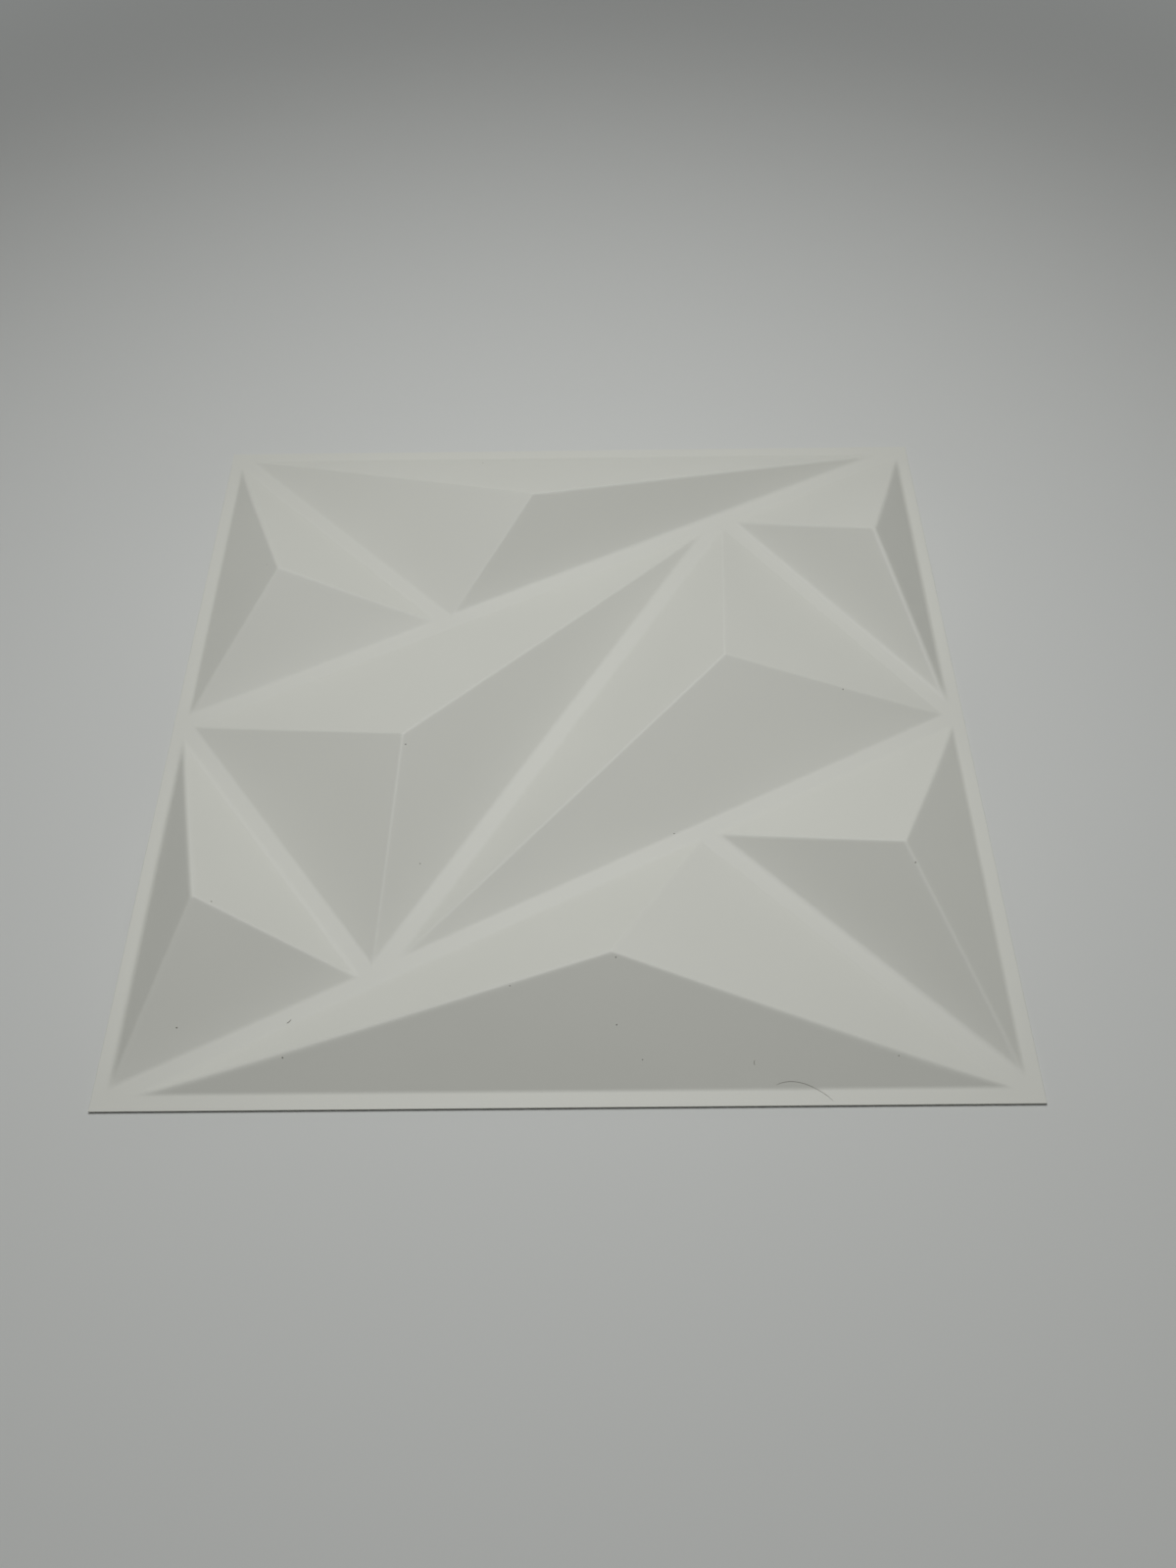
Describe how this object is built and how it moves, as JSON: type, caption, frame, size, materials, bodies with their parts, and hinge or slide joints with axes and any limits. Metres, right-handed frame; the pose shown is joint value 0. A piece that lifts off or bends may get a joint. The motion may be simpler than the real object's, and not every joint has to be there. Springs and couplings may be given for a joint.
{
  "type": "3d wall panel tile",
  "caption": "Square thin plastic wall tile with a relief of low pyramids on triangular feet, a flat rim and flat lands; hollow behind, glued flat to a wall.",
  "frame": {"origin": "centre of the tile on the plane of its flat back", "axes": "+Z out of the patterned face, +X to the right and +Y up the tile as seen from the front"},
  "size_m": [0.3, 0.3, 0.0181],
  "materials": {
    "white_pvc": "matt off-white vacuum formed PVC sheet"
  },
  "bodies": {
    "root": {"wall_panel_tile": "white_pvc"}
  },
  "joints": []
}
